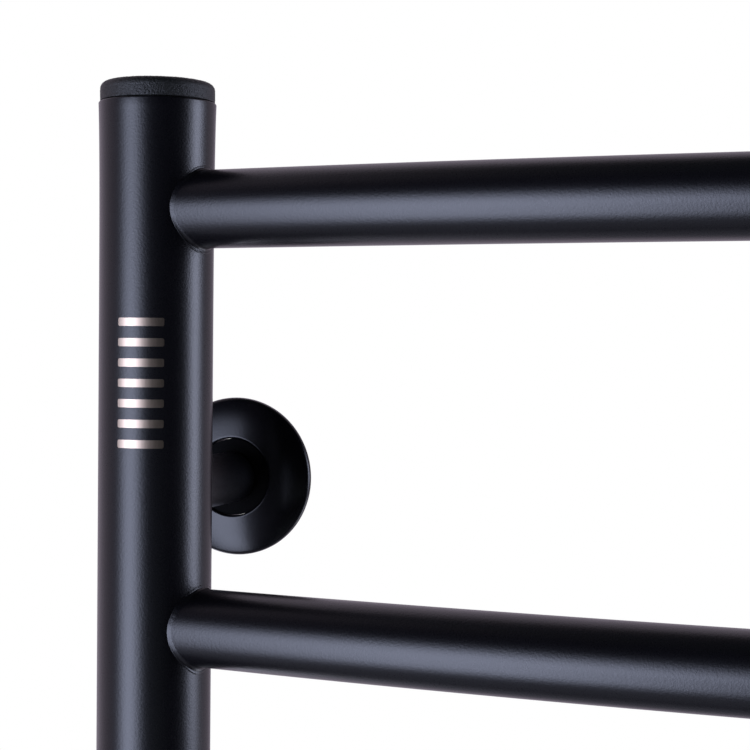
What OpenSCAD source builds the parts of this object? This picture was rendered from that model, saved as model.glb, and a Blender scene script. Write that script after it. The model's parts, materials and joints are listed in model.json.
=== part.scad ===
// Wall-hung electric towel warmer: two round posts joined by bowed rungs, held off the wall
// by four telescoping arms. A heating cable runs through the tubes from a control head
// at the foot of the right post.
// Frame: +X to the right, +Y into the wall, +Z up. The wall is the plane y = 0.
// The origin is the centre of the rectangle of the four wall screws.

/* [Frame] */
// Outside diameter of the posts, over their coat
post_d = 32.4; // [30:0.2:36]
// Wall thickness of the posts
post_wall = 1.5; // [1.2:0.1:1.8]
// Distance between the axes of the posts
post_spacing = 468; // [388:10:548]
// Length of post above the axis of the top rung
post_above = 30.5; // [26:0.5:50]
// Length of post below the axis of the bottom rung
post_below = 50.5; // [44:0.5:80]
// Outside diameter of the rungs
rung_d = 22; // [20:1:23]
// Wall thickness of the rungs
rung_wall = 1.2; // [1:0.1:1.5]
// Number of rungs
rung_count = 7; // [5:2:9]
// Distance between the axes of neighbouring rungs
rung_pitch = 118; // [104:2:150]
// How far the middle of a rung stands in front of its ends
rung_bow = 18; // [12:1:24]
// Leg of the weld beads
weld_leg = 1.6; // [1.2:0.1:2]

/* [Caps] */
// Thickness of a post cap's head
cap_head = 5.5; // [4:0.1:8]
// Shadow gap between a post's end and what closes it
shadow_gap = 0.3; // [0.2:0.1:0.5]
// Length of the stem that plugs the post
cap_stem = 14; // [10:1:18]

/* [Wall brackets] */
// Distance from the posts' axes to the wall
wall_gap = 61; // [58:1:75]
// Height of a bracket below the top rung, and above the bottom rung
bracket_drop = 80; // [40:1:90]
// Outside diameter of the bracket arms
arm_d = 16; // [15:0.5:18]
// Wall thickness of the bracket arms
arm_wall = 2; // [1.6:0.1:2.2]
// Outside diameter of the rosettes
rosette_d = 50; // [46:1:56]
// Diameter of the hole in the rosettes
rosette_hole_d = 24.4; // [23:0.1:26]
// Depth of the rosettes off the wall
rosette_depth = 4.8; // [4.4:0.1:6]
// Diameter of the wall screws' holes
wall_hole_d = 5.5; // [4.5:0.5:6]

/* [Heating] */
// Diameter of the heating cable
cable_d = 6; // [5:0.5:7]
// Radius of the cable's bends, to its axis
cable_bend = 12; // [11:0.5:14]

/* [Control head] */
// Outside diameter of the control head
head_d = 36; // [35:1:38]
// Length of the control head below the post
head_length = 68; // [66:1:90]
// Diameter of the power button
button_d = 10; // [9:0.5:10.5]
// Travel of the power button
button_travel = 1; // [0.6:0.1:1]
// Diameter of the opening for the supply cord
cord_d = 7.2; // [6:0.2:7.4]

/* [Hidden] */
$fn = 96;
eps = 0.01;
// How far a cutting shape runs past what it cuts
cut = 1;
// Degrees by which a cutting bow runs past the post axes
overrun = 0.5;
// Facets round a whole turn of the rungs' large arc, and round a tube
bow_facets = 1440;
tube_facets = 64;

side_names = ["left", "right"];
level_names = ["upper", "lower"];
bracket_parts = ["arm", "wall_bush", "rosette"];

steel_black = [0.09, 0.09, 0.105];
plastic_black = [0.12, 0.12, 0.12];
zinc = [0.72, 0.73, 0.75];
zinc_black = [0.1, 0.1, 0.11];
rubber_black = [0.05, 0.05, 0.05];

// ---- derived sizes of the frame ----
post_r = post_d / 2;
bore_r = post_r - post_wall;
post_x = post_spacing / 2;
post_y = -wall_gap;
rung_r = rung_d / 2;
rung_bore_r = rung_r - rung_wall;
top_rung_z = (rung_count - 1) * rung_pitch / 2;
post_top = top_rung_z + post_above;
post_foot = -top_rung_z - post_below;
end_chamfer = 0.4;
fixing_z = post_foot + 9;
fixing_r = 2;
fixing_hole_r = fixing_r + 0.1;

// The rungs' axes are arcs through both post axes
arc_r = (post_x * post_x + rung_bow * rung_bow) / (2 * rung_bow);
arc_half = asin(post_x / arc_r);
arc_centre_y = post_y - rung_bow + arc_r;
rung_hole_r = rung_bore_r - 0.8;

// ---- derived sizes of the caps ----
cap_r = post_r - 0.1;
cap_edge = 2.2;
cap_stem_r = bore_r - 0.3;
cap_stem_wall = 1.8;
cap_rib_r = bore_r - 0.05;
cap_rib_h = 1;
cap_ribs = 3;

// ---- derived sizes of the brackets ----
bracket_z = top_rung_z - bracket_drop;
arm_r = arm_d / 2;
arm_bore_r = arm_r - arm_wall;
fit = 0.05;
spigot_r = arm_bore_r - fit;
spigot_end = 36;
rosette_r = rosette_d / 2;
rosette_hole_r = rosette_hole_d / 2;
bush_r = rosette_hole_r - 0.2;
bush_depth = 4;
arm_standoff = 5;
countersink_r = 5.2;
countersink_depth = 2.6;
grub_y = -14;
grub_r = 2.5;
grub_socket_r = 1.25;
grub_socket_depth = 1.6;
flat_depth = 1;
flat_start = 8;
ring_r = 0.7;
ring_y = 2.4;
ring_path_r = rosette_hole_r - fit - ring_r;

// A rosette is a low dome: its slope grows with the square of the way out from the hole
slope_in = tan(8);
slope_out = tan(22);
rim_r = 1;
lip_r = 0.7;
dome_in_r = rosette_hole_r + lip_r + lip_r * sin(atan(slope_in));
dome_out_r = rosette_r - rim_r + rim_r * sin(atan(slope_out));
dome_in_h = rosette_depth - lip_r + lip_r * cos(atan(slope_in));
dome_steps = 12;
rosette_skin = 1.2;
collar_end = 1.3;

// ---- derived sizes of the cable ----
cable_r = cable_d / 2;
cable_half = asin((post_x - cable_bend) / arc_r);
cable_arc_x = arc_r * sin(cable_half);
cable_arc_y = arc_centre_y - arc_r * cos(cable_half);
riser_x = cable_arc_x + cable_bend * cos(cable_half);
riser_y = cable_arc_y + cable_bend * sin(cable_half);
tail_length = 20;
seal_length = 26;
seal_wall = 1.5;
seal_grip = 12;
bow_steps = 8;
turn_steps = 4;

// ---- derived levels and sizes of the control head ----
plug_r = bore_r - 0.2;
head_r = head_d / 2;
head_wall = 3;
head_top = post_foot - shadow_gap;
head_foot = post_foot - head_length;
base_thick = 3;
base_top = head_foot + base_thick;
register = 1;
head_ceiling = head_top - 2.5;
head_stem_top = post_foot + 18;
head_stem_wall = 2.8;
front_flat = head_r - 1.5;
front_inside = front_flat - 2.7;
board_front = 6;
board_thick = 1.6;
board_back = board_front - board_thick;
board_w = 22;
board_foot = base_top + 8;
board_top = head_ceiling - 4.5;
button_z = head_top - 27;
button_r = button_d / 2;
lens_z = button_z + 14;
lens_r = 1.5;
led_depth = 1.1;
flange_r = button_r + 1.2;
flange_front = front_inside - 0.1;
switch_front = board_front + 3.5;
plunger_r = 1.7;
plunger_front = switch_front + button_travel + 0.7;
plunger_back = switch_front - 1.3;
switch_bore_end = plunger_back - button_travel - 0.2;
terminal_top = head_top - 30;
base_screw_x = 9.5;
base_screw_y = 9.6;
base_screw_r = 1.2;
base_screw_head_r = 2.4;
base_screw_head_h = 1.4;
base_screw_recess = 1.6;
boss_r = 2.6;
boss_h = 12;
pilot_depth = 11;

lug_back = plug_r - head_stem_wall - 0.9;
lug_thick = 0.8;

// ---- derived sizes of the cable gland ----
gland_bore_r = cord_d / 2;
gland_hex_r = 8.5;
gland_slack = 0.4;
gland_flange = 4;
gland_flange_foot = head_foot - gland_flange;
gland_stub_foot = gland_flange_foot - 8;
gland_foot = gland_stub_foot - 3;
thread_r = 5.9;
thread_length = 9;
gland_height = head_foot + thread_length - gland_foot;
stub_r = 6.2;
seal_r = 5.1;
seal_rise = 0.9;
seal_drop = 0.8;
locknut_h = 3;

function rung_z(i) = top_rung_z - (i - 1) * rung_pitch;
function dome_point(t) = let (reach = dome_out_r - dome_in_r)
    [dome_in_r + reach * t, dome_in_h - reach * (slope_in * t + (slope_out - slope_in) * t * t * t / 3)];
rim_foot = dome_point(1)[1] - rim_r * cos(atan(slope_out));
function arc_points(centre, r, from, to, steps) =
    [for (k = [0:steps], turn = from + (to - from) * k / steps) centre + r * [cos(turn), sin(turn)]];

// ---------------------------------------------------------------- helpers

// Solid bow of radius r along a rung's axis, ending at the post axes
module bow(r, half = arc_half) {
    translate([0, arc_centre_y, 0])
        rotate([0, 0, 270 - half])
            rotate_extrude(angle = 2 * half, $fn = bow_facets)
                translate([arc_r, 0])
                    circle(r = r, $fn = tube_facets);
}

// Upright cylinder with chamfered ends
module chamfered_bar(r, low, high) {
    translate([0, 0, low])
        cylinder(h = end_chamfer, r1 = r - end_chamfer, r2 = r);
    translate([0, 0, low + end_chamfer])
        cylinder(h = high - low - 2 * end_chamfer, r = r);
    translate([0, 0, high - end_chamfer])
        cylinder(h = end_chamfer, r1 = r, r2 = r - end_chamfer);
}

// Cylinder along Y, from y = from to y = to
module along_y(r, from, to) {
    translate([0, from, 0])
        rotate([-90, 0, 0])
            cylinder(h = to - from, r = r);
}

// Outer surface of a post, grown by a margin, for coping what is welded to it
module post_core(side, margin = 0, low = post_foot, high = post_top) {
    translate([side * post_x, post_y, low])
        cylinder(h = high - low, r = post_r + margin);
}

// Moves its children from a bracket's own axis to one of the four corners
module at_bracket(side, level) {
    translate([side * post_x, 0, level * bracket_z])
        children();
}

// Moves its children to the axis of the control head
module at_head() {
    translate([post_x, post_y, 0])
        children();
}

// ---------------------------------------------------------------- frame

module rung_opening(side) {
    rotate([0, 0, side < 0 ? -arc_half : 180 + arc_half])
        rotate([0, 90, 0])
            cylinder(h = post_d, r = rung_hole_r);
}

module post(side) {
    color(steel_black)
        difference() {
            translate([side * post_x, post_y, 0])
                chamfered_bar(post_r, post_foot, post_top);
            translate([side * post_x, post_y, post_foot - cut])
                cylinder(h = post_top - post_foot + 2 * cut, r = bore_r);
            for (i = [1:rung_count])
                translate([side * post_x, post_y, rung_z(i)])
                    rung_opening(side);
            if (side > 0)
                translate([post_x, post_y, fixing_z])
                    along_y(fixing_hole_r, 0, post_r + cut);
        }
}

module rung(i) {
    color(steel_black)
        translate([0, 0, rung_z(i)])
            difference() {
                bow(rung_r);
                bow(rung_bore_r, arc_half + overrun);
                for (side = [-1, 1])
                    post_core(side, 0, -post_d, post_d);
            }
}

module rung_weld(side) {
    difference() {
        intersection() {
            bow(rung_r + weld_leg);
            post_core(side, weld_leg, -post_d, post_d);
        }
        bow(rung_r, arc_half + overrun);
        post_core(side, 0, -post_d, post_d);
    }
}

module rung_welds(side) {
    color(steel_black)
        for (i = [1:rung_count])
            translate([0, 0, rung_z(i)])
                rung_weld(side);
}

// Plastic plug: a rounded head over a hollow ribbed stem. The head faces +Z from z = 0.
module post_cap() {
    color(plastic_black) {
        rotate_extrude()
            polygon(concat(
                [[0, shadow_gap], [cap_r, shadow_gap]],
                arc_points([cap_r - cap_edge, shadow_gap + cap_head - cap_edge], cap_edge, 0, 90, 8),
                [[0, shadow_gap + cap_head]]
            ));
        difference() {
            union() {
                translate([0, 0, -cap_stem])
                    cylinder(h = cap_stem + shadow_gap + eps, r = cap_stem_r);
                for (k = [1:cap_ribs])
                    translate([0, 0, -k * cap_stem / (cap_ribs + 1) - cap_rib_h / 2])
                        cylinder(h = cap_rib_h, r = cap_rib_r);
            }
            translate([0, 0, -cap_stem - cut])
                cylinder(h = cap_stem + cut, r = cap_stem_r - cap_stem_wall);
        }
    }
}

module top_cap(side) {
    translate([side * post_x, post_y, post_top])
        post_cap();
}

module left_bottom_cap() {
    translate([-post_x, post_y, post_foot])
        mirror([0, 0, 1])
            post_cap();
}

// ---------------------------------------------------------------- wall brackets

// Tube welded to the back of a post; it slides on the wall bush's spigot
module arm() {
    color(steel_black)
        difference() {
            along_y(arm_r, post_y, -arm_standoff);
            along_y(arm_bore_r, post_y - cut, 0);
            translate([0, post_y, -post_d])
                cylinder(h = 2 * post_d, r = post_r);
            translate([0, grub_y, -arm_r - cut])
                cylinder(h = arm_r, r = grub_r);
        }
}

module arm_weld() {
    difference() {
        intersection() {
            along_y(arm_r + weld_leg, post_y, -arm_standoff);
            translate([0, post_y, -post_d])
                cylinder(h = 2 * post_d, r = post_r + weld_leg);
        }
        along_y(arm_r, post_y - cut, 0);
        translate([0, post_y, -post_d])
            cylinder(h = 2 * post_d, r = post_r);
    }
}

module arm_welds() {
    color(steel_black)
        for (side = [-1, 1], level = [-1, 1])
            at_bracket(side, level)
                arm_weld();
}

// Turned bush screwed to the wall: a base with a ring groove, and a spigot with a flat
module wall_bush() {
    color(zinc_black)
        difference() {
            union() {
                along_y(bush_r, -bush_depth, 0);
                along_y(spigot_r, -spigot_end, -bush_depth + eps);
            }
            along_y(wall_hole_d / 2, -spigot_end - cut, cut);
            translate([0, -spigot_end - eps, 0])
                rotate([-90, 0, 0])
                    cylinder(h = countersink_depth, r1 = countersink_r, r2 = wall_hole_d / 2);
            translate([-arm_r, -spigot_end - cut, -spigot_r - cut])
                cube([arm_d, spigot_end + cut - flat_start, cut + flat_depth]);
            difference() {
                along_y(bush_r + cut, -ring_y - ring_r - fit, -ring_y + ring_r + fit);
                along_y(ring_path_r - ring_r - fit, -bush_depth, 0);
            }
        }
}

module bush_rings() {
    color(rubber_black)
        for (side = [-1, 1], level = [-1, 1])
            at_bracket(side, level)
                translate([0, -ring_y, 0])
                    rotate([90, 0, 0])
                        rotate_extrude()
                            translate([ring_path_r, 0])
                                circle(r = ring_r);
}

// Low dome with a rounded rim and a collar that grips the bush's ring
module rosette() {
    outline = concat(
        [[rosette_r, 0]],
        arc_points([rosette_r - rim_r, rim_foot], rim_r, 0, 90 - atan(slope_out), 6),
        [for (k = [dome_steps - 1:-1:1]) dome_point(k / dome_steps)],
        arc_points([rosette_hole_r + lip_r, rosette_depth - lip_r], lip_r, 90 - atan(slope_in), 180, 8),
        [
            [rosette_hole_r, collar_end],
            [rosette_hole_r + rosette_skin, collar_end],
            [rosette_hole_r + rosette_skin, rosette_depth - 1.2 * rosette_skin],
            [rosette_r - rosette_skin, rim_foot],
            [rosette_r - rosette_skin, 0]
        ]
    );
    color(steel_black)
        rotate([90, 0, 0])
            rotate_extrude()
                polygon(outline);
}

module grub_screws() {
    color(zinc_black)
        for (side = [-1, 1], level = [-1, 1])
            at_bracket(side, level)
                translate([0, grub_y, -arm_r])
                    difference() {
                        cylinder(h = arm_r - spigot_r + flat_depth - fit, r = grub_r - fit / 2);
                        translate([0, 0, -cut])
                            cylinder(h = grub_socket_depth + cut, r = grub_socket_r, $fn = 6);
                    }
}

// ---------------------------------------------------------------- heating

// A rung is entered from below on one side and left on the other
function entry_side(i) = i % 2 == 0 ? -1 : 1;
function turn_point(i, side, way, turned) = [
    side * (cable_arc_x + cos(cable_half) * cable_bend * sin(turned)),
    cable_arc_y + sin(cable_half) * cable_bend * sin(turned),
    rung_z(i) + way * cable_bend * (1 - cos(turned))
];
function bow_point(i, angle) = [arc_r * sin(angle), arc_centre_y - arc_r * cos(angle), rung_z(i)];
function rung_run(i) = let (side = entry_side(i), way_out = i > 1 ? 1 : -1) concat(
    [for (k = [turn_steps:-1:1]) turn_point(i, side, -1, 90 * k / turn_steps)],
    [for (k = [0:bow_steps]) bow_point(i, side * cable_half * (1 - 2 * k / bow_steps))],
    [for (k = [1:turn_steps]) turn_point(i, -side, way_out, 90 * k / turn_steps)]
);
function unit(v) = v / norm(v);
function heading(route, j) =
    unit(route[min(j + 1, len(route) - 1)] - route[max(j - 1, 0)]);

// Tube swept along a route that never runs along Y
module swept_tube(route, r, sides) {
    rings = len(route);
    points = [
        for (j = [0:rings - 1])
            let (ahead = heading(route, j), up = unit(cross(ahead, [0, 1, 0])), out = cross(ahead, up))
                for (k = [0:sides - 1])
                    route[j] + r * (cos(360 * k / sides) * up + sin(360 * k / sides) * out)
    ];
    walls = [
        for (j = [0:rings - 2], k = [0:sides - 1])
            let (a = j * sides + k, b = j * sides + (k + 1) % sides)
                [a, a + sides, b + sides, b]
    ];
    first_end = [for (k = [0:sides - 1]) k];
    last_end = [for (k = [sides - 1:-1:0]) (rings - 1) * sides + k];
    polyhedron(points, concat(walls, [first_end, last_end]));
}

// One run from the terminals up the right post and through every rung in turn
module heating_cable() {
    route = concat(
        [[riser_x, riser_y, terminal_top]],
        [for (i = [rung_count:-1:1]) each rung_run(i)],
        [[-riser_x, riser_y, rung_z(1) - cable_bend - tail_length]]
    );
    color([0.72, 0.2, 0.14])
        swept_tube(route, cable_r, 8);
}

module cable_end_seal() {
    seal_top = rung_z(1) - cable_bend - tail_length + seal_grip;
    color([0.15, 0.15, 0.16])
        translate([-riser_x, riser_y, seal_top - seal_length])
            difference() {
                cylinder(h = seal_length, r = cable_r + seal_wall);
                translate([0, 0, seal_length - seal_grip])
                    cylinder(h = seal_grip + cut, r = cable_r);
            }
}

// Small sealed switch that opens the circuit if the post overheats
module thermal_cutout() {
    width = 6;
    depth = 4;
    height = 20;
    back = bore_r - 0.6;
    above_stem = 10;
    color([0.85, 0.85, 0.8])
        at_head()
            translate([-width / 2, back - depth, head_stem_top + above_stem])
                cube([width, depth, height]);
}

// ---------------------------------------------------------------- control head

module front_hole(r, z) {
    translate([0, 0, z])
        along_y(r, -head_r - cut, 0);
}

module base_screw_places() {
    for (way = [-1, 1])
        translate([way * base_screw_x, base_screw_y, 0])
            children();
}

// Solid of revolution that the control housing is cut from: the barrel, its shoulder and its stem
module housing_blank() {
    shoulder = 1;
    translate([0, 0, base_top])
        cylinder(h = head_top - base_top - shoulder, r = head_r);
    translate([0, 0, head_top - shoulder])
        cylinder(h = shoulder, r1 = head_r, r2 = head_r - shoulder);
    translate([0, 0, head_top - shoulder])
        cylinder(h = head_stem_top - head_top + shoulder, r = plug_r);
}

module housing_cavity() {
    difference() {
        translate([0, 0, base_top - cut])
            cylinder(h = head_ceiling - base_top + cut, r = head_r - head_wall);
        translate([-head_r, -head_r - front_inside, base_top])
            cube([head_d, head_r, head_ceiling - base_top]);
    }
}

// Four rails that hold the circuit board by its edges
module board_rails() {
    rail_w = 5;
    rail_d = 1.5;
    rail_gap = 0.1;
    rail_x = board_w / 2 + 1.5;
    for (way = [-1, 1], y = [-board_back + rail_gap, -board_front - rail_gap - rail_d])
        translate([way * rail_x - rail_w / 2, y, board_foot])
            cube([rail_w, rail_d, head_ceiling - board_foot + eps]);
}

module control_housing() {
    hole_clearance = 0.3;
    color(plastic_black)
        at_head()
            difference() {
                union() {
                    difference() {
                        housing_blank();
                        housing_cavity();
                    }
                    intersection() {
                        union() {
                            base_screw_places()
                                translate([0, 0, base_top + register + 0.1])
                                    cylinder(h = boss_h, r = boss_r);
                            board_rails();
                        }
                        translate([0, 0, base_top])
                            cylinder(h = head_ceiling - base_top + eps, r = head_r - head_wall / 2);
                    }
                }
                translate([-head_r, -head_r - front_flat, base_top - cut])
                    cube([head_d, head_r, head_top - base_top + cut]);
                translate([0, 0, head_ceiling - cut])
                    cylinder(h = head_stem_top - head_ceiling + 2 * cut, r = plug_r - head_stem_wall);
                front_hole(button_r + hole_clearance, button_z);
                front_hole(lens_r + fit, lens_z);
                translate([0, 0, fixing_z])
                    along_y(fixing_hole_r, 0, post_r + cut);
                base_screw_places()
                    translate([0, 0, base_top])
                        cylinder(h = pilot_depth, r = base_screw_r + fit);
            }
}

// Bottom lid of the control head, with the hole for the cable gland
module control_base() {
    edge = 2;
    lid_gap = 0.1;
    spigot_r = head_r - head_wall - lid_gap;
    clearance_r = base_screw_r + 0.3;
    color(plastic_black)
        at_head()
            difference() {
                translate([0, 0, head_foot])
                    rotate_extrude()
                        polygon(concat(
                            [[0, 0]],
                            arc_points([head_r - edge, edge], edge, -90, 0, 8),
                            [
                                [head_r, base_thick - lid_gap],
                                [spigot_r, base_thick - lid_gap],
                                [spigot_r, base_thick + register],
                                [0, base_thick + register]
                            ]
                        ));
                translate([0, 0, head_foot - cut])
                    cylinder(h = base_thick + register + 2 * cut, r = thread_r + lid_gap);
                translate([-head_r, -head_r - front_flat, head_foot - cut])
                    cube([head_d, head_r, base_thick + cut]);
                translate([-head_r, -head_r - front_inside + lid_gap, base_top - lid_gap])
                    cube([head_d, head_r, register + cut]);
                base_screw_places() {
                    translate([0, 0, head_foot - cut])
                        cylinder(h = base_thick + register + 2 * cut, r = clearance_r);
                    translate([0, 0, head_foot - cut])
                        cylinder(h = base_screw_recess + cut, r = base_screw_head_r + 0.2);
                }
            }
}

module base_screws() {
    shank = 11;
    socket_r = 0.9;
    socket_depth = 0.9;
    head_under = head_foot + base_screw_recess;
    color(zinc)
        at_head()
            base_screw_places()
                difference() {
                    union() {
                        translate([0, 0, head_under - base_screw_head_h])
                            cylinder(h = base_screw_head_h, r = base_screw_head_r);
                        translate([0, 0, head_under])
                            cylinder(h = shank, r = base_screw_r);
                    }
                    translate([0, 0, head_under - base_screw_head_h - cut])
                        cylinder(h = socket_depth + cut, r = socket_r, $fn = 6);
                }
}

// Screw through the back of the post that holds the control head and earths the frame
module housing_screw() {
    shank_from = 6;
    screw_head_r = 3.6;
    screw_head_h = 1.8;
    socket_r = 1.45;
    socket_depth = 1.2;
    color(zinc)
        at_head()
            translate([0, 0, fixing_z])
                difference() {
                    union() {
                        along_y(fixing_r - fit, shank_from, post_r + eps);
                        along_y(screw_head_r, post_r, post_r + screw_head_h);
                    }
                    translate([0, post_r + screw_head_h - socket_depth, 0])
                        rotate([-90, 0, 0])
                            cylinder(h = socket_depth + cut, r = socket_r, $fn = 6);
                }
}

module earth_lug() {
    lug_r = 4;
    tail_w = 3.2;
    tail_length = 12;
    color([0.85, 0.75, 0.35])
        at_head()
            translate([0, 0, fixing_z])
                difference() {
                    union() {
                        along_y(lug_r, lug_back - lug_thick, lug_back);
                        translate([-tail_w / 2, lug_back - lug_thick, -tail_length])
                            cube([tail_w, lug_thick, tail_length]);
                    }
                    along_y(fixing_hole_r, 0, post_r);
                }
}

module housing_nut() {
    nut_r = 4;
    nut_h = 2.6;
    color(zinc)
        at_head()
            translate([0, 0, fixing_z])
                difference() {
                    translate([0, lug_back - lug_thick - nut_h, 0])
                        rotate([-90, 0, 0])
                            cylinder(h = nut_h, r = nut_r, $fn = 6);
                    along_y(fixing_r, 0, post_r);
                }
}

module circuit_board() {
    color([0.1, 0.35, 0.2])
        at_head()
            translate([-board_w / 2, -board_front, board_foot])
                cube([board_w, board_thick, board_top - board_foot]);
}

module terminal_block() {
    block_w = 18;
    block_d = 11;
    block_h = 11;
    entry_r = 2.2;
    entry_depth = 5;
    entry_pitch = 5.6;
    entry_y = 2;
    color([0.2, 0.45, 0.3])
        at_head()
            difference() {
                translate([-block_w / 2, -board_back, terminal_top - block_h])
                    cube([block_w, block_d, block_h]);
                for (k = [-1:1])
                    translate([k * entry_pitch, entry_y, terminal_top - block_h - cut])
                        cylinder(h = entry_depth + cut, r = entry_r);
            }
}

module heater_triac() {
    size = [10, 4.5, 9];
    left = -9;
    above_foot = 2;
    color([0.08, 0.08, 0.08])
        at_head()
            translate([left, -board_back, board_foot + above_foot])
                cube(size);
}

module supply_capacitor() {
    size = [6, 6, 10];
    left = 2.5;
    above_foot = 1;
    color([0.75, 0.62, 0.2])
        at_head()
            translate([left, -board_back, board_foot + above_foot])
                cube(size);
}

module button_switch() {
    width = 6;
    color([0.15, 0.15, 0.16])
        at_head()
            translate([0, 0, button_z])
                difference() {
                    translate([-width / 2, -switch_front, -width / 2])
                        cube([width, switch_front - board_front, width]);
                    along_y(plunger_r + 0.15, -switch_front - cut, -switch_bore_end);
                }
}

module switch_plunger() {
    color([0.6, 0.6, 0.62])
        at_head()
            translate([0, 0, button_z])
                along_y(plunger_r, -plunger_front, -plunger_back);
}

// Round push button: a rounded crown, a flange that keeps it in, and a stem onto the switch
module power_button() {
    proud = 0.8;
    edge = 0.6;
    stem_r = 2;
    flange_back = flange_front - 1;
    crown = front_flat + proud;
    color([0.3, 0.3, 0.31])
        at_head()
            translate([0, 0, button_z])
                rotate([90, 0, 0])
                    rotate_extrude()
                        polygon(concat(
                            [
                                [0, plunger_front],
                                [stem_r, plunger_front],
                                [stem_r, flange_back],
                                [flange_r, flange_back],
                                [flange_r, flange_front],
                                [button_r, flange_front]
                            ],
                            arc_points([button_r - edge, crown - edge], edge, 0, 90, 6),
                            [[0, crown]]
                        ));
}

module indicator_led() {
    size = [3.2, led_depth, 1.6];
    color([0.95, 0.95, 0.9])
        at_head()
            translate([-size[0] / 2, -board_front - led_depth, lens_z - size[2] / 2])
                cube(size);
}

module indicator_lens() {
    proud = 0.2;
    color([0.9, 0.3, 0.2])
        at_head()
            translate([0, 0, lens_z])
                along_y(lens_r, -front_flat - proud, -board_front - led_depth - 0.1);
}

// ---------------------------------------------------------------- cable gland

module gland_body() {
    color(plastic_black)
        at_head()
            difference() {
                union() {
                    translate([0, 0, gland_flange_foot])
                        cylinder(h = gland_flange, r = gland_hex_r, $fn = 6);
                    translate([0, 0, head_foot - eps])
                        cylinder(h = thread_length, r = thread_r);
                    translate([0, 0, gland_stub_foot])
                        cylinder(h = gland_flange_foot - gland_stub_foot + eps, r = stub_r);
                }
                translate([0, 0, gland_foot])
                    cylinder(h = gland_height + cut, r = gland_bore_r + gland_slack);
                translate([0, 0, gland_foot])
                    cylinder(h = gland_flange_foot + cut - gland_foot, r = seal_r + fit);
            }
}

module gland_seal() {
    seal_foot = gland_stub_foot - seal_drop;
    seal_h = gland_flange_foot + seal_rise - seal_foot;
    color(rubber_black)
        at_head()
            translate([0, 0, seal_foot])
                difference() {
                    cylinder(h = seal_h, r = seal_r);
                    translate([0, 0, -cut])
                        cylinder(h = seal_h + 2 * cut, r = gland_bore_r);
                }
}

module gland_nut() {
    nut_foot = gland_stub_foot - 1;
    nut_h = 8;
    cone_h = nut_foot - gland_foot;
    cone_foot_r = gland_bore_r + 1.8;
    cone_top_r = 7;
    nut_inside = gland_stub_foot - 0.9;
    color(plastic_black)
        at_head()
            difference() {
                union() {
                    translate([0, 0, nut_foot])
                        cylinder(h = nut_h, r = gland_hex_r, $fn = 6);
                    translate([0, 0, gland_foot])
                        cylinder(h = cone_h + eps, r1 = cone_foot_r, r2 = cone_top_r);
                }
                translate([0, 0, gland_foot - cut])
                    cylinder(h = nut_h + cone_h + 2 * cut, r = gland_bore_r + gland_slack);
                translate([0, 0, nut_inside])
                    cylinder(h = nut_h + cut, r = stub_r + fit);
            }
}

module gland_locknut() {
    color(plastic_black)
        at_head()
            translate([0, 0, base_top + register])
                difference() {
                    cylinder(h = locknut_h, r = gland_hex_r, $fn = 6);
                    translate([0, 0, -cut])
                        cylinder(h = locknut_h + 2 * cut, r = thread_r + fit);
                }
}

// ---------------------------------------------------------------- assembly

module bracket_piece(piece) {
    if (piece == "arm") arm();
    if (piece == "wall_bush") wall_bush();
    if (piece == "rosette") rosette();
}

for (s = [0, 1]) {
    side = 2 * s - 1;
    post(side);
    rung_welds(side);
    top_cap(side);
    for (l = [0, 1], piece = bracket_parts)
        at_bracket(side, 1 - 2 * l) bracket_piece(piece);
}
for (i = [1:rung_count])
    rung(i);
left_bottom_cap();
arm_welds();
grub_screws();
bush_rings();
heating_cable();
cable_end_seal();
thermal_cutout();
control_housing();
control_base();
base_screws();
housing_screw();
earth_lug();
housing_nut();
circuit_board();
terminal_block();
heater_triac();
supply_capacitor();
button_switch();
switch_plunger();
power_button();
indicator_led();
indicator_lens();
gland_body();
gland_seal();
gland_nut();
gland_locknut();
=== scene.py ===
"""Satin black electric towel warmer rack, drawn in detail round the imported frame."""
import json
import math

import bmesh
import bpy
from mathutils import Matrix, Vector, noise


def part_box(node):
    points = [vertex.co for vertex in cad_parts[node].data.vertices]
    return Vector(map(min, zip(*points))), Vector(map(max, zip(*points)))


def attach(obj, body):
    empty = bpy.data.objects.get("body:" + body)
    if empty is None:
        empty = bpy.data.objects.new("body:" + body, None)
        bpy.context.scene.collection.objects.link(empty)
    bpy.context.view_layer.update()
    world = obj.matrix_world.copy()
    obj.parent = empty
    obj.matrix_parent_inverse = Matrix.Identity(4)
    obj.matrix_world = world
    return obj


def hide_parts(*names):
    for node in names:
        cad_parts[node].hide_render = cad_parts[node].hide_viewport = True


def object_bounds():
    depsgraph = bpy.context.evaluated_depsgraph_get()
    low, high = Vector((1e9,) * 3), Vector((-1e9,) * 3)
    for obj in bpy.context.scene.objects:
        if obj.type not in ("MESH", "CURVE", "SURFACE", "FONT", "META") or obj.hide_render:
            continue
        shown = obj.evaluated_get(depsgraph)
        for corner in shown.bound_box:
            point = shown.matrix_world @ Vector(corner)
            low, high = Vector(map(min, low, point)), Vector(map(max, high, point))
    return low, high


MM = 0.001
NOISE_RANGE = (0.3, 0.7)
SIDES = {"left": -1, "right": 1}
LEVELS = ("upper", "lower")

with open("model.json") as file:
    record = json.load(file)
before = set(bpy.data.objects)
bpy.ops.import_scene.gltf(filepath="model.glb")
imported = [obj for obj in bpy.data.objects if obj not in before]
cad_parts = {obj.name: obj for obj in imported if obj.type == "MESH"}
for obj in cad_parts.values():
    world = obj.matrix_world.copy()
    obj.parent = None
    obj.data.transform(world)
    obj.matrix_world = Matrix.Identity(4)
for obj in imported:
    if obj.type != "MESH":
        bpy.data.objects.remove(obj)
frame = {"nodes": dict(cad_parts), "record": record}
cad_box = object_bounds()
nodes = frame["nodes"]
# without a seed the caps' grain would differ from run to run
noise.seed_set(1)


# ------------------------------------------------------------------ sizes from the frame

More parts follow.
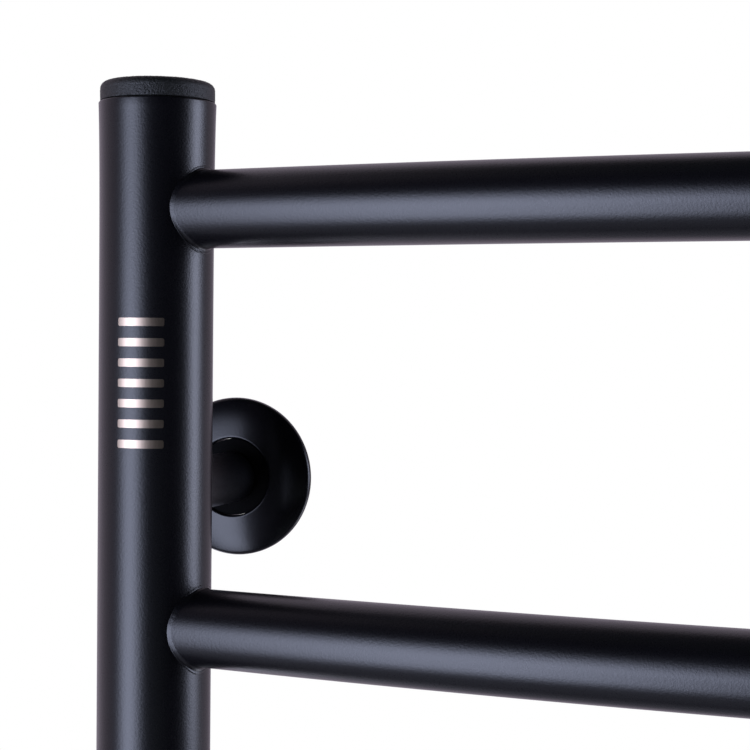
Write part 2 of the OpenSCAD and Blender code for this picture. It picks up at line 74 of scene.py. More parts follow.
def centre_of(node):
    low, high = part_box(node)
    return (Vector(low) + Vector(high)) / 2


def size_of(node):
    low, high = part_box(node)
    return Vector(high) - Vector(low)


RUNG_COUNT = sum(name.startswith("rung_") for name in nodes)
POST_R = size_of("left_post").x / 2
POST_WALL = 1.5 * MM
POST_X = centre_of("right_post").x
POST_Y = centre_of("left_post").y
POST_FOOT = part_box("left_post")[0][2]
POST_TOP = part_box("left_post")[1][2]
RUNG_R = size_of("rung_1").z / 2
RUNG_Z = [centre_of(f"rung_{i + 1}").z for i in range(RUNG_COUNT)]
BOW = POST_Y - RUNG_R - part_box("rung_1")[0][1]
ARC_R = (POST_X ** 2 + BOW ** 2) / (2 * BOW)
ARC_CENTRE_Y = POST_Y - BOW + ARC_R
HALF_ARC = math.asin(POST_X / ARC_R)
ARM_R = size_of("upper_left_arm").x / 2
ARM_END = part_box("upper_left_arm")[1][1]
ROSETTE_R = size_of("upper_left_rosette").x / 2
ROSETTE_DEPTH = size_of("upper_left_rosette").y
BUSH_SLACK = 0.2 * MM
BUSH_HOLE_R = size_of("upper_left_wall_bush").x / 2 + BUSH_SLACK
CAP_R = size_of("left_top_cap").x / 2
CAP_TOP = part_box("left_top_cap")[1][2]
SHADOW_GAP = 0.3 * MM
COPE_INSET = 0.6 * MM
WELD_PROUD = 0.02 * MM
END_FLARE = 0.48 * MM
FLARE_LENGTH = 15 * MM


# ------------------------------------------------------------------ mesh helpers

def add_object(name, verts, faces, material, body, slot, sharp_deg=38):
    """Makes a smooth-shaded piece that rides on a body. Edges sharper than sharp_deg stay sharp."""
    mesh = bpy.data.meshes.new(name)
    mesh.from_pydata([tuple(v) for v in verts], [], faces)
    mesh.validate()
    bm = bmesh.new()
    bm.from_mesh(mesh)
    bmesh.ops.recalc_face_normals(bm, faces=bm.faces)
    bm.to_mesh(mesh)
    bm.free()
    mesh.polygons.foreach_set("use_smooth", [True] * len(mesh.polygons))
    mesh.set_sharp_from_angle(angle=math.radians(sharp_deg))
    obj = bpy.data.objects.new(name, mesh)
    bpy.context.scene.collection.objects.link(obj)
    mesh.materials.append(material)
    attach(obj, body)
    return obj


def ring_faces(ring_count, ring_size, closed=False):
    """Faces between rings of points that follow each other. If closed, the last ring joins the first."""
    faces = []
    last = ring_count if closed else ring_count - 1
    for j in range(last):
        a, b = j * ring_size, ((j + 1) % ring_count) * ring_size
        for k in range(ring_size):
            m = (k + 1) % ring_size
            faces.append((a + k, a + m, b + m, b + k))
    return faces


def lathe(profile, segments):
    """Turns a profile of (radius, height) points about the Z axis. Its two ends are on the axis."""
    verts, rings = [], []
    for radius, height in profile:
        if radius == 0:
            rings.append([len(verts)])
            verts.append(Vector((0, 0, height)))
            continue
        rings.append(list(range(len(verts), len(verts) + segments)))
        for k in range(segments):
            turn = 2 * math.pi * k / segments
            verts.append(Vector((radius * math.cos(turn), radius * math.sin(turn), height)))
    faces = []
    for low, high in zip(rings, rings[1:]):
        for k in range(segments):
            m = (k + 1) % segments
            if len(low) == 1:
                faces.append((low[0], high[k], high[m]))
            elif len(high) == 1:
                faces.append((low[k], low[m], high[0]))
            else:
                faces.append((low[k], low[m], high[m], high[k]))
    return verts, faces


def loop_lathe(profile, place, segments):
    """Turns a closed profile, which goes round a hole, about the Z axis of the matrix place."""
    verts = []
    for radius, height in profile:
        for k in range(segments):
            turn = 2 * math.pi * k / segments
            verts.append(place @ Vector((radius * math.cos(turn), radius * math.sin(turn), height)))
    return verts, ring_faces(len(profile), segments, closed=True)


def arc(centre, radius, start, end, steps):
    """Points on a round corner, angles in degrees."""
    out = []
    for k in range(steps + 1):
        turn = math.radians(start + (end - start) * k / steps)
        out.append((centre[0] + radius * math.cos(turn), centre[1] + radius * math.sin(turn)))
    return out


def joined(*parts):
    """Several (verts, faces) pairs as one."""
    verts, faces = [], []
    for part_verts, part_faces in parts:
        shift = len(verts)
        verts += part_verts
        faces += [tuple(i + shift for i in face) for face in part_faces]
    return verts, faces


# ------------------------------------------------------------------ materials

def new_material(name):
    """A material with its node tree and its Principled shader."""
    material = bpy.data.materials.new(name)
    material.use_nodes = True
    tree = material.node_tree
    return material, tree, tree.nodes["Principled BSDF"]


def node(tree, kind, inputs=None, **settings):
    made = tree.nodes.new(kind)
    for key, value in settings.items():
        setattr(made, key, value)
    for key, value in (inputs or {}).items():
        made.inputs[key].default_value = value
    return made


def object_coordinates(tree):
    return node(tree, "ShaderNodeTexCoord").outputs["Object"]


def noise_texture(tree, where, scale, detail=2.0, roughness=0.5):
    """Noise from 0 to 1, most of it in NOISE_RANGE. Scale is the number of its features per metre."""
    made = node(tree, "ShaderNodeTexNoise", {"Scale": scale, "Detail": detail, "Roughness": roughness})
    tree.links.new(where, made.inputs["Vector"])
    return made.outputs["Fac"]


def remap(tree, value, low, high, from_low=0.0, from_high=1.0):
    limits = {"From Min": from_low, "From Max": from_high, "To Min": low, "To Max": high}
    made = node(tree, "ShaderNodeMapRange", limits)
    tree.links.new(value, made.inputs["Value"])
    return made.outputs["Result"]


def colour_mix(tree, factor, first, second):
    made = node(tree, "ShaderNodeMix", data_type="RGBA")
    made.inputs["A"].default_value = (*first, 1)
    made.inputs["B"].default_value = (*second, 1)
    tree.links.new(factor, made.inputs["Factor"])
    return made.outputs["Result"]


def vary_roughness(tree, shader, pattern, middle, spread):
    """Roughness that follows a noise pattern, spread to each side of middle."""
    gloss = remap(tree, pattern, middle - spread, middle + spread, *NOISE_RANGE)
    tree.links.new(gloss, shader.inputs["Roughness"])


def vary_colour(tree, shader, pattern, first, second):
    """Base colour that goes from first to second as a noise pattern goes from 0 to 1."""
    tree.links.new(colour_mix(tree, pattern, first, second), shader.inputs["Base Color"])


def bump(tree, shader, height, strength, distance, under=None):
    """Bumps the shader's normal by a height pattern, on top of the normal under if there is one."""
    made = node(tree, "ShaderNodeBump", {"Strength": strength, "Distance": distance})
    tree.links.new(height, made.inputs["Height"])
    if under is not None:
        tree.links.new(under, made.inputs["Normal"])
    tree.links.new(made.outputs["Normal"], shader.inputs["Normal"])
    return made.outputs["Normal"]


def powder_coat(name, roughness, peel_depth, specular=0.5):
    """Satin black powder coat: a soft orange peel under a millimetre across, with a fine grain on it."""
    material, tree, shader = new_material(name)
    where = object_coordinates(tree)
    peel = noise_texture(tree, where, scale=1500, roughness=0.65)
    grain = noise_texture(tree, where, scale=4200, roughness=0.6)
    patches = noise_texture(tree, where, scale=26, detail=3.0)
    vary_colour(tree, shader, patches, (0.0022, 0.0021, 0.0031), (0.003, 0.0028, 0.0041))
    vary_roughness(tree, shader, grain, roughness, 0.035)
    shader.inputs["Specular IOR Level"].default_value = specular
    peeled = bump(tree, shader, peel, strength=1.0, distance=peel_depth)
    bump(tree, shader, grain, strength=0.8, distance=0.006 * MM, under=peeled)
    return material


def plain_material(name, colour, roughness, metallic=0.0, specular=0.5, scale=900, grain=0.01,
                   variation=0.12):
    """A moulded, plated or rubber surface: grain this many mm deep, with slight changes of tone and gloss."""
    material, tree, shader = new_material(name)
    where = object_coordinates(tree)
    fine = noise_texture(tree, where, scale, detail=3.0, roughness=0.6)
    broad = noise_texture(tree, where, scale / 30)
    lighter = tuple(min(1.0, c * (1 + variation)) for c in colour)
    darker = tuple(c * (1 - variation) for c in colour)
    vary_colour(tree, shader, broad, darker, lighter)
    vary_roughness(tree, shader, fine, roughness, 0.06)
    shader.inputs["Metallic"].default_value = metallic
    shader.inputs["Specular IOR Level"].default_value = specular
    bump(tree, shader, fine, strength=0.4, distance=grain * MM)
    return material


def leather_plastic():
    """Matt black plastic for the caps. The leather grain itself is in their meshes."""
    material, tree, shader = new_material("cap_plastic")
    where = object_coordinates(tree)
    fine = noise_texture(tree, where, scale=2500, roughness=0.6)
    broad = noise_texture(tree, where, scale=60)
    vary_colour(tree, shader, broad, (0.0046, 0.0052, 0.0046), (0.0066, 0.0074, 0.0066))
    vary_roughness(tree, shader, fine, 0.49, 0.07)
    bump(tree, shader, fine, strength=1.0, distance=0.2 * MM)
    return material


def etched_steel():
    """Bare steel with fine upright brush lines, where the coat is etched away."""
    material, tree, shader = new_material("etched_steel")
    stretch = node(tree, "ShaderNodeMapping", {"Scale": (6000.0, 6000.0, 300.0)})
    tree.links.new(object_coordinates(tree), stretch.inputs["Vector"])
    lines = noise_texture(tree, stretch.outputs["Vector"], scale=1.0, detail=3.0, roughness=0.6)
    vary_colour(tree, shader, lines, (0.36, 0.285, 0.22), (0.5, 0.395, 0.31))
    vary_roughness(tree, shader, lines, 0.335, 0.035)
    shader.inputs["Metallic"].default_value = 1.0
    bump(tree, shader, lines, strength=0.3, distance=0.004 * MM)
    return material


def lens_material():
    """Clear red plastic lens with slight cloudiness."""
    material, tree, shader = new_material("lens_plastic")
    where = object_coordinates(tree)
    cloud = noise_texture(tree, where, scale=700)
    vary_colour(tree, shader, cloud, (0.5, 0.035, 0.02), (0.68, 0.06, 0.03))
    tree.links.new(remap(tree, cloud, 0.08, 0.18), shader.inputs["Roughness"])
    shader.inputs["Transmission Weight"].default_value = 0.4
    return material


COAT = powder_coat("powder_coat", roughness=0.295, peel_depth=0.038 * MM)
PRESSED_COAT = powder_coat("powder_coat_pressed", roughness=0.22, peel_depth=0.018 * MM, specular=0.36)
CAP_PLASTIC = leather_plastic()
ETCHED = etched_steel()
PLAIN_MATERIALS = {
    "head_plastic": dict(colour=(0.006, 0.006, 0.0065), roughness=0.46, scale=1800, grain=0.012),
    "black_zinc": dict(colour=(0.003, 0.003, 0.0033), roughness=0.85, specular=0.05, scale=2400),
    "zinc_steel": dict(colour=(0.6, 0.61, 0.63), roughness=0.3, metallic=1.0, scale=2600, grain=0.005),
    "black_rubber": dict(colour=(0.012, 0.012, 0.012), roughness=0.7, scale=1500, grain=0.02),
    "cable_silicone": dict(colour=(0.42, 0.06, 0.035), roughness=0.5, grain=0.015),
    "seal_silicone": dict(colour=(0.03, 0.03, 0.033), roughness=0.55, grain=0.02),
    "cutout_casing": dict(colour=(0.74, 0.72, 0.64), roughness=0.45, scale=1200),
    "tinned_brass": dict(colour=(0.72, 0.55, 0.26), roughness=0.3, metallic=1.0, scale=2000),
    "board_laminate": dict(colour=(0.015, 0.14, 0.06), roughness=0.28, scale=1500),
    "terminal_plastic": dict(colour=(0.03, 0.2, 0.09), roughness=0.42, scale=1300),
    "component_black": dict(colour=(0.018, 0.018, 0.018), roughness=0.5, scale=1600),
    "capacitor_case": dict(colour=(0.6, 0.4, 0.05), roughness=0.3, scale=1000),
    "button_plastic": dict(colour=(0.03, 0.03, 0.033), roughness=0.36, scale=2000, grain=0.008),
    "led_case": dict(colour=(0.82, 0.82, 0.78), roughness=0.35, scale=1500),
}
MATERIALS = {
    "powder_coat": COAT,
    "cap_plastic": CAP_PLASTIC,
    "lens_plastic": lens_material(),
}
for slot_name, look in PLAIN_MATERIALS.items():
    MATERIALS[slot_name] = plain_material(slot_name, **look)


def paint_cad_nodes():
    """Gives each CAD node the material of its slot in the record."""
    slot_of = {entry["node"]: entry["material_slot"] for entry in frame["record"]["subparts"]}
    for name, obj in nodes.items():
        obj.data.materials.clear()
        obj.data.materials.append(MATERIALS[slot_of[name]])


# ------------------------------------------------------------------ frame tubes

def bow_point(reach, side, radius, turn):
    """Point on a rung's skin, with the rung's height left at 0. Reach is how far it is along the arc from
    the post's axis, and turn goes round the tube."""
    angle = side * (HALF_ARC - reach / ARC_R)
    out = Vector((math.sin(angle), -math.cos(angle), 0))
    centre = Vector((0, ARC_CENTRE_Y, 0)) + out * ARC_R
    return centre + radius * (math.cos(turn) * out + math.sin(turn) * Vector((0, 0, 1)))


def off_post(point, side):
    """Distance of a point from a post's axis."""
    return math.hypot(point.x - side * POST_X, point.y - POST_Y)


def reach_at(side, radius, turn, distance):
    """How far along the arc a rung's skin stands at a distance from the post's axis, by halving."""
    halvings = 40
    low, high = 0.0, 3 * distance
    for _ in range(halvings):
        middle = (low + high) / 2
        if off_post(bow_point(middle, side, radius, turn), side) < distance:
            low = middle
        else:
            high = middle
    return low


def rung_mesh(height, around=96, along=72):
    """A bowed tube whose ends are coped to sit just inside the posts' skin."""
    length = 2 * ARC_R * HALF_ARC
    lift = Vector((0, 0, height))
    starts = [reach_at(-1, RUNG_R, 2 * math.pi * k / around, POST_R - COPE_INSET)
              for k in range(around)]
    verts = []
    for j in range(along + 1):
        share = j / along
        for k in range(around):
            turn = 2 * math.pi * k / around
            reach = starts[k] + (length - 2 * starts[k]) * share
            verts.append(bow_point(reach, -1, RUNG_R, turn) + lift)
    faces = ring_faces(along + 1, around)
    faces.append(tuple(range(around)))
    faces.append(tuple(along * around + k for k in reversed(range(around))))
    return verts, faces


def bezier(first, control, last, share):
    """Point at a share, 0 to 1, of the way along a quadratic curve."""
    return first.lerp(control, share).lerp(control.lerp(last, share), share)


def weld_mesh(skin_point, start_at, toe_on_post, bead_at, around=200, steps=18):
    """A bead swept round a tube where it meets a post. Its two legs, its fullness (0 hollow, 1 flat) and
    the height of its lip on the post are set by the turn."""
    lip_at, lip_width, buried = 0.88, 0.08, 0.4
    verts = []
    for k in range(around):
        turn = 2 * math.pi * k / around
        tube_leg, post_leg, fullness, lip = bead_at(turn)
        root = skin_point(start_at(turn), turn)
        tube_toe = skin_point(start_at(turn) + tube_leg, turn)
        post_toe = toe_on_post(turn, post_leg)
        middle = (tube_toe + post_toe) / 2
        outward = (middle - root).normalized()
        for j in range(steps + 1):
            share = j / steps
            rolled = lip * math.exp(-((share - lip_at) / lip_width) ** 2)
            verts.append(bezier(tube_toe, root.lerp(middle, fullness), post_toe, share) + outward * rolled)
        verts.append(root - outward * post_leg * buried)
    return verts, ring_faces(around, steps + 2, closed=True)


def bead_ripple(turn, seed):
    """Small unevenness of a weld bead's width, about 0 to 1."""
    broad_r, fine_r = 3, 14
    broad = Vector((broad_r * math.cos(turn), broad_r * math.sin(turn), seed * 7.3))
    fine = Vector((fine_r * math.cos(turn), fine_r * math.sin(turn), seed * 3.1))
    return 0.5 + 0.6 * noise.noise(broad) + 0.25 * noise.noise(fine)


def rung_weld_mesh(side, height, seed):
    """The bead between a post and one rung's end."""
    lift = Vector((0, 0, height))
    radius = RUNG_R + WELD_PROUD

    def start_at(turn):
        return reach_at(side, radius, turn, POST_R)

    def skin_point(reach, turn):
        return bow_point(reach, side, radius, turn) + lift

    def toe_on_post(turn, leg):
        wide = bow_point(start_at(turn), side, radius + leg, turn) + lift
        away = Vector((wide.x - side * POST_X, wide.y - POST_Y, 0)).normalized()
        return Vector((side * POST_X, POST_Y, wide.z)) + away * (post_radius(wide.z) + WELD_PROUD)

    def bead_at(turn):
        """Flat and wide on the room side, hollow with a raised edge above and below, and a lump where the
        welder stopped."""
        stop_at, stop_width = 285, 16
        front = max(0.0, math.cos(turn)) ** 2
        stop = math.exp(-((math.degrees(turn) - stop_at) / stop_width) ** 2)
        size = (0.8 + 0.4 * bead_ripple(turn, seed)) * MM
        tube_leg = (0.95 + 0.15 * front) * size
        post_leg = (1.3 - 0.9 * front + 0.6 * stop) * size
        fullness = 0.12 + 0.9 * front
        lip = (0.16 * (1 - front) + 0.14 * stop) * MM
        return tube_leg, post_leg, fullness, lip

    return weld_mesh(skin_point, start_at, toe_on_post, bead_at)


def arm_weld_mesh(side, height, seed):
    """The bead between a post and one wall arm, much the same all round."""
    radius = ARM_R + WELD_PROUD
    axis = Vector((side * POST_X, POST_Y, height))

    def skin_point(reach, turn):
        return axis + Vector((radius * math.cos(turn), reach, radius * math.sin(turn)))

    def start_at(turn):
        return math.sqrt(POST_R ** 2 - (radius * math.cos(turn)) ** 2)

    def toe_on_post(turn, leg):
        wide = radius + leg
        across = wide * math.cos(turn)
        back = math.sqrt((POST_R + WELD_PROUD) ** 2 - across ** 2)
        return axis + Vector((across, back, wide * math.sin(turn)))

    def bead_at(turn):
        leg = (1.2 + 0.5 * bead_ripple(turn, seed)) * MM
        fullness, lip = 0.12, 0.12 * MM
        return leg, leg, fullness, lip

    return weld_mesh(skin_point, start_at, toe_on_post, bead_at)


def post_radius(height):
    """The tube opens a little towards its ends, where the plugs are pressed in."""
    from_end = min(height - POST_FOOT, POST_TOP - height)
    return POST_R + END_FLARE * math.exp(-from_end / FLARE_LENGTH)


def post_mesh(side):
    """Tube with rolled edges, open at both ends. Its rings are closer together in the flared ends."""
    edge, edge_steps, around = 0.45 * MM, 5, 160
    graded, graded_steps, first_step, middle_steps = 60 * MM, 14, 3, 8
    end_r = post_radius(POST_TOP)
    plain_length = POST_TOP - POST_FOOT - 2 * graded
    reaches = [graded * (k / graded_steps) ** 2 for k in range(first_step, graded_steps + 1)]
    middle = [graded + plain_length * k / middle_steps for k in range(1, middle_steps)]
    heights = [POST_FOOT + r for r in reaches + middle] + [POST_TOP - r for r in reversed(reaches)]
    profile = arc((end_r - edge, POST_FOOT + edge), edge, -90, 0, edge_steps)
    profile += [(post_radius(z), z) for z in heights]
    profile += arc((end_r - edge, POST_TOP - edge), edge, 0, 90, edge_steps)
    profile += [(POST_R - POST_WALL, POST_TOP), (POST_R - POST_WALL, POST_FOOT)]
    return loop_lathe(profile, Matrix.Translation((side * POST_X, POST_Y, 0)), around)


def build_frame():
    """Posts, rungs and the weld beads between them."""
    for name, side in SIDES.items():
        verts, faces = post_mesh(side)
        post = add_object(f"{name}_post_tube", verts, faces, COAT, "rack", "powder_coat")
        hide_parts(f"{name}_post")
        beads = [rung_weld_mesh(side, z, 10 * side + i) for i, z in enumerate(RUNG_Z)]
        weld = add_object(f"{name}_weld_fillets", *joined(*beads), COAT, "rack", "powder_coat", sharp_deg=70)
        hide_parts(f"{name}_rung_welds")
    for i, height in enumerate(RUNG_Z):
        rung = add_object(f"rung_tube_{i + 1}", *rung_mesh(height), COAT, "rack", "powder_coat")
        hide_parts(f"rung_{i + 1}")


# ------------------------------------------------------------------ caps

def cap_profile():
    """Half outline of a cap from axis to axis: hollow stem in the tube, shadow gap, head, dished crown."""
    head, foot, edge, chamfer, dish = CAP_TOP - POST_TOP, SHADOW_GAP, 2.2 * MM, 0.2 * MM, 0.2 * MM
    wall_steps, edge_steps, crown_steps = 14, 18, 40
    stem_slack, stem_wall, head_proud = 0.1 * MM, 1.8 * MM, 0.2 * MM
    radius = CAP_R + head_proud
    stem_r = POST_R - POST_WALL - stem_slack
    stem_bore_r = stem_r - stem_wall
    stem_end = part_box("left_top_cap")[0][2] - POST_TOP
    stem = [(0, foot), (stem_bore_r, foot), (stem_bore_r, stem_end), (stem_r, stem_end), (stem_r, foot)]
    wall_from, wall_to, crown_r = foot + chamfer, head - edge, radius - edge
    wall = [(radius, wall_from + (wall_to - wall_from) * k / wall_steps) for k in range(wall_steps + 1)]
    round_edge = arc((crown_r, head - edge), edge, 0, 90, edge_steps)[1:]
    shares = [1 - k / crown_steps for k in range(1, crown_steps)]
    crown = [(crown_r * share, head - dish * (1 - share ** 2)) for share in shares]
    return stem + [(radius - chamfer, foot)] + wall + round_edge + crown + [(0, head - dish)]


def leather_height(point):
    """Height of the moulded grain: small uneven pebbles parted by creases, in metres."""
    pebble, crease_depth, unevenness = 0.64 * MM, 0.085 * MM, 0.04 * MM
    crease_width, warp = 0.45, 0.45
    spot = point / pebble
    near = noise.voronoi(spot + noise.noise_vector(spot * 0.6) * warp)[0]
    crease = min(1.0, (near[1] - near[0]) / crease_width)
    return crease * crease_depth + noise.noise(spot * 1.7) * unevenness


def grained_cap(place, segments=520):
    """The cap, put in place, with the grain pressed into the wall and crown of its head."""
    verts, faces = lathe(cap_profile(), segments)
    deepest, crown_from, crown_pull = 0.095 * MM, 3 * MM, 6
    grained = []
    for vert in verts:
        if vert.z > SHADOW_GAP + deepest:
            away = Vector((vert.x, vert.y, max(0.0, vert.z - crown_from) * crown_pull)).normalized()
            vert = vert + away * min(0.0, leather_height(vert + place.translation) - deepest)
        grained.append(place @ vert)
    return grained, faces


def build_caps():
    upside_down = Matrix.Rotation(math.pi, 4, "X")
    places = {
        "left_top_cap": Matrix.Translation((-POST_X, POST_Y, POST_TOP)),
        "right_top_cap": Matrix.Translation((POST_X, POST_Y, POST_TOP)),
        "left_bottom_cap": Matrix.Translation((-POST_X, POST_Y, POST_FOOT)) @ upside_down,
    }
    for name, place in places.items():
        cap = add_object(f"{name}_head", *grained_cap(place), CAP_PLASTIC, "rack", "cap_plastic")
        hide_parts(name)


# ------------------------------------------------------------------ wall brackets

def rosette_profile():
    """Closed outline of the domed cover, radius by height off the wall. Its slope grows with the square of
    the way out."""
    slope_in, slope_out = math.radians(8), math.radians(22)
    hole, rim, lip, skin = BUSH_HOLE_R, 1.8 * MM, 0.7 * MM, 1.2 * MM
    collar_foot, collar_top = 1.3 * MM, ROSETTE_DEPTH - 1.2 * skin
    rim_steps, dome_steps, lip_steps = 10, 24, 12
    lip_centre = (hole + lip, ROSETTE_DEPTH - lip)
    start = (lip_centre[0] + lip * math.sin(slope_in), lip_centre[1] + lip * math.cos(slope_in))
    reach = ROSETTE_R - rim + rim * math.sin(slope_out) - start[0]

    def dome(share):
        """Point on the dome at a share, 0 to 1, of the way from the lip to the rim."""
        drop = math.tan(slope_in) * share + (math.tan(slope_out) - math.tan(slope_in)) * share ** 3 / 3
        return start[0] + reach * share, start[1] - reach * drop

    rim_foot = dome(1)[1] - rim * math.cos(slope_out)
    outline = [(ROSETTE_R, 0)]
    outline += arc((ROSETTE_R - rim, rim_foot), rim, 0, 90 - math.degrees(slope_out), rim_steps)
    outline += [dome(1 - k / dome_steps) for k in range(1, dome_steps)]
    outline += arc(lip_centre, lip, 90 - math.degrees(slope_in), 180, lip_steps)
    outline += [(hole, collar_foot), (hole + skin, collar_foot), (hole + skin, collar_top)]
    return outline + [(ROSETTE_R - skin, rim_foot), (ROSETTE_R - skin, 0)]


def arm_mesh(side, height, around=96):
    """Tube from the back of the post towards the wall, with a rolled end."""
    wall, edge, edge_steps = 2.0 * MM, 0.5 * MM, 5
    bore = ARM_R - wall

    def ring(radius, reach):
        """Points round the arm at y = reach, or just under the post's skin if reach is None."""
        out = []
        for k in range(around):
            turn = 2 * math.pi * k / around
            across = radius * math.cos(turn)
            y = reach
            if y is None:
                y = POST_Y + math.sqrt((POST_R - COPE_INSET) ** 2 - across ** 2)
            out.append(Vector((side * POST_X + across, y, height + radius * math.sin(turn))))
        return out

    outline = [(ARM_R, None)]
    outline += [(r, ARM_END - edge + h) for r, h in arc((ARM_R - edge, 0), edge, 0, 90, edge_steps)]
    outline += [(bore, ARM_END), (bore, None)]
    verts = []
    for radius, reach in outline:
        verts += ring(radius, reach)
    return verts, ring_faces(len(outline), around, closed=True)


def build_brackets():
    """Covers, arms and the weld beads at the back of the posts."""
    around, first_seed = 160, 51
    arm_beads = []
    for level in LEVELS:
        for name, side in SIDES.items():
            height = centre_of(f"{level}_{name}_arm").z
            to_room = Matrix.Translation((side * POST_X, 0, height)) @ Matrix.Rotation(math.pi / 2, 4, "X")
            dish = loop_lathe(rosette_profile(), to_room, around)
            corner = f"{level}_{name}"
            cover = add_object(f"{corner}_cover_dish", *dish, PRESSED_COAT, f"{corner}_cover", "powder_coat")
            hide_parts(f"{corner}_rosette")
            arm = add_object(f"{corner}_arm_tube", *arm_mesh(side, height), COAT, "rack", "powder_coat")
            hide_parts(f"{corner}_arm")
            arm_beads.append(arm_weld_mesh(side, height, first_seed + len(arm_beads)))
    weld = add_object("arm_weld_fillets", *joined(*arm_beads), COAT, "rack", "powder_coat", sharp_deg=70)
    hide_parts("arm_welds")


# ------------------------------------------------------------------ etched mark

def etched_bar(height, width, skin_r, facing, base_z, columns=28):
    """Thin plate bent round the post, with softened corners."""
    corner, depth = 0.5 * MM, 0.2 * MM
    axis = Vector((-POST_X, POST_Y, base_z))
    verts = []
    for k in range(columns + 1):
        across = width * (0.5 - 0.5 * math.cos(math.pi * k / columns)) - width / 2
        past = max(0.0, corner - (width / 2 - abs(across)))
        half = height / 2 - corner + math.sqrt(max(0.0, corner ** 2 - past ** 2))
        turn = facing + across / POST_R
        for radius, z in ((skin_r, -half), (skin_r, half), (skin_r - depth, half), (skin_r - depth, -half)):
            verts.append(axis + Vector((radius * math.cos(turn), radius * math.sin(turn), z)))
    last = 4 * columns
    return verts, ring_faces(columns + 1, 4) + [(0, 1, 2, 3), (last + 3, last + 2, last + 1, last)]


def build_mark():
    """A plain etched emblem on the left post: short bars, as many as the rack has rungs."""
    bar_h, bar_w, pitch, below_rung, proud = 2.3 * MM, 13.6 * MM, 5.65 * MM, 48.8 * MM, 0.03 * MM
    to_room, turned = -90, 9
    facing = math.radians(to_room + turned)
    bars = []
    for i in range(RUNG_COUNT):
        base_z = RUNG_Z[0] - below_rung + (i - (RUNG_COUNT - 1) / 2) * pitch
        bars.append(etched_bar(bar_h, bar_w, POST_R + proud, facing, base_z))
    add_object("etched_bars", *joined(*bars), ETCHED, "rack", "zinc_steel")


# ------------------------------------------------------------------ stage, light and camera

def world_light():
    """White to the eye. In reflections it is a studio: a tall soft light in front on the left, a small one on
    the right, a faint low table, pale paper and two low soft lights behind, and dark overhead."""
    world = bpy.data.worlds.new("studio")
    bpy.context.scene.world = world
    world.use_nodes = True
    tree = world.node_tree
    tree.nodes.clear()

    def wire(made, values):
        """Sets a node's inputs, in order, to numbers or links, and gives its first output."""
        for socket, value in zip(made.inputs, values):
            if isinstance(value, (int, float)):
                socket.default_value = value
            else:
                tree.links.new(value, socket)
        return made.outputs[0]

    def calc(kind, *values):
        return wire(node(tree, "ShaderNodeMath", operation=kind), values)

    def ramp(value, start, end):
        """0 to 1 as value goes smoothly from start to end, or back down if start is the larger."""
        low, high = min(start, end), max(start, end)
        top, bottom = (1.0, 0.0) if start < end else (0.0, 1.0)
        limits = {"From Min": low, "From Max": high, "To Min": bottom, "To Max": top}
        made = node(tree, "ShaderNodeMapRange", limits, interpolation_type="SMOOTHSTEP")
        tree.links.new(value, made.inputs["Value"])
        return made.outputs["Result"]

    def product(*masks):
        out = masks[0]
        for mask in masks[1:]:
            out = calc("MULTIPLY", out, mask)
        return out

    split = node(tree, "ShaderNodeSeparateXYZ")
    tree.links.new(node(tree, "ShaderNodeTexCoord").outputs["Generated"], split.inputs[0])
    to_degrees = math.degrees(1)
    towards_room = calc("MULTIPLY", split.outputs["Y"], -1.0)
    azimuth = calc("MULTIPLY", calc("ARCTAN2", split.outputs["X"], towards_room), to_degrees)
    elevation = calc("MULTIPLY", calc("ARCSINE", split.outputs["Z"]), to_degrees)

    # every mask is made of ramps over azimuth and elevation in degrees, azimuth 0 being the room side
    under_top = ramp(elevation, 72, 50)
    over_ground = ramp(elevation, -58, -35)
    widening = product(ramp(elevation, 6, -5), ramp(elevation, -24, -12), 6.0)
    left_box = product(ramp(azimuth, -57, -29), ramp(calc("SUBTRACT", azimuth, widening), 0, -28),
                       ramp(elevation, 26, -3), over_ground)
    right_box = product(ramp(azimuth, 87, 108), ramp(azimuth, 131, 110),
                        ramp(elevation, -23, -2), ramp(elevation, 27, 6))
    paper = product(calc("MAXIMUM", ramp(azimuth, -43, -74), ramp(azimuth, 117, 148)), under_top, over_ground)
    left_paper = product(ramp(azimuth, -70, -120), under_top, over_ground)
    turned_back = calc("ABSOLUTE", azimuth)
    back_box = product(ramp(turned_back, 112, 126), ramp(turned_back, 150, 138),
                       ramp(elevation, -14, -26), over_ground)
    low_table = product(ramp(azimuth, -8, 6), ramp(azimuth, 60, 30), ramp(elevation, -3, -12), over_ground)
    ground = ramp(elevation, -35, -58)
    ceiling = ramp(elevation, 50, 72)
    lights = (
        (left_box, (0.69, 0.75, 1.0), 7.6),
        (right_box, (0.72, 0.77, 1.0), 8.0),
        (paper, (0.94, 0.82, 1.0), 0.42),
        (left_paper, (0.94, 0.82, 1.0), 0.27),
        (back_box, (0.8, 0.84, 1.0), 2.8),
        (low_table, (0.8, 0.95, 1.0), 0.1),
        (ground, (0.8, 0.81, 1.0), 0.28),
        (ceiling, (0.8, 1.0, 0.93), 0.035),
    )
    total = None
    for mask, colour, strength in lights:
        glow = node(tree, "ShaderNodeBackground", {"Color": (*colour, 1)})
        tree.links.new(calc("MULTIPLY", mask, strength), glow.inputs["Strength"])
        if total is not None:
            both = node(tree, "ShaderNodeAddShader")
            tree.links.new(total, both.inputs[0])
            tree.links.new(glow.outputs[0], both.inputs[1])
            total = both.outputs[0]
        else:
            total = glow.outputs[0]
    plain = node(tree, "ShaderNodeBackground", {"Color": (1, 1, 1, 1), "Strength": 1.0})
    choose = node(tree, "ShaderNodeMixShader")
    tree.links.new(node(tree, "ShaderNodeLightPath").outputs["Is Camera Ray"], choose.inputs[0])
    tree.links.new(total, choose.inputs[1])
    tree.links.new(plain.outputs[0], choose.inputs[2])
    tree.links.new(choose.outputs[0], node(tree, "ShaderNodeOutputWorld").inputs["Surface"])


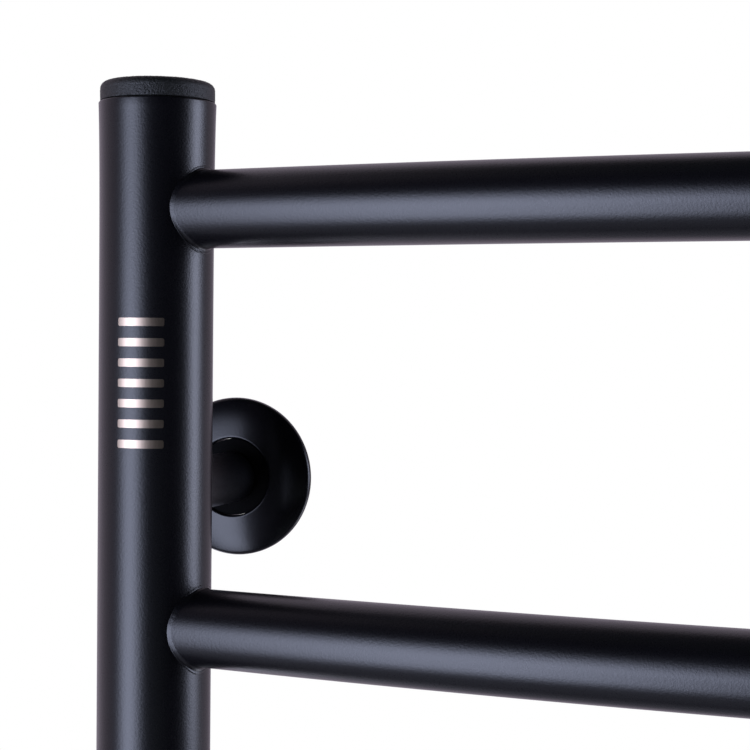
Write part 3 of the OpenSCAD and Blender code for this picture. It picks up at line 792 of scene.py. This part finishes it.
def build_floor():
    """Pale floor well below the rack. Its lamp lights nothing else, and the tubes don't mirror it."""
    drop, radius, sides, paleness = 0.15, 2.2, 96, 0.8
    ground = cad_box[0][2] - drop
    turns = [2 * math.pi * k / sides for k in range(sides)]
    edge = [(radius * math.cos(turn), radius * math.sin(turn), ground) for turn in turns]
    mesh = bpy.data.meshes.new("floor")
    mesh.from_pydata(edge, [], [tuple(range(sides))])
    pale = plain_material("pale_floor", (paleness,) * 3, 0.7, scale=40, grain=0.05, variation=0.02)
    mesh.materials.append(pale)
    floor = bpy.data.objects.new("floor", mesh)
    floor.visible_glossy = False
    floor.visible_shadow = False
    bpy.context.scene.collection.objects.link(floor)

    lamp_size, lamp_height, before_wall, brightness = 2.5, 2.5, 0.4, 0.95
    light = bpy.data.lights.new("floor_lamp", "AREA")
    light.size = lamp_size
    light.energy = brightness * math.pi ** 2 * lamp_height ** 2 / paleness
    lamp = bpy.data.objects.new("floor_lamp", light)
    lamp.location = (0, -before_wall, ground + lamp_height)
    lamp.visible_camera = False
    bpy.context.scene.collection.objects.link(lamp)
    lit = bpy.data.collections.new("lit_by_floor_lamp")
    lit.objects.link(floor)
    lamp.light_linking.receiver_collection = lit


def build_camera():
    """Stands in the room, right of the left post and just below the top rung, and looks left."""
    right_of_post, before_post, below_rung = 216.35 * MM, 459.14 * MM, 36.24 * MM
    look_left, look_down, lean = math.radians(18.15), math.radians(1.142), math.radians(0.52)
    data = bpy.data.cameras.new("camera")
    data.sensor_width = 36
    data.lens = 84.66
    data.clip_start = 0.01
    camera = bpy.data.objects.new("camera", data)
    bpy.context.scene.collection.objects.link(camera)
    level = Vector((-math.sin(look_left), math.cos(look_left), 0))
    ahead = level * math.cos(look_down) - Vector((0, 0, math.sin(look_down)))
    across = Vector((math.cos(look_left), math.sin(look_left), 0))
    upward = across.cross(ahead)
    right = math.cos(lean) * across + math.sin(lean) * upward
    up = -math.sin(lean) * across + math.cos(lean) * upward
    turn = Matrix((right, up, -ahead)).transposed()
    place = Vector((-POST_X + right_of_post, POST_Y - before_post, RUNG_Z[0] - below_rung))
    camera.matrix_world = Matrix.Translation(place) @ turn.to_4x4()
    bpy.context.scene.camera = camera


bpy.context.scene.view_settings.view_transform = "Standard"
build_camera()
paint_cad_nodes()
build_frame()
build_caps()
build_brackets()
build_mark()
world_light()
build_floor()
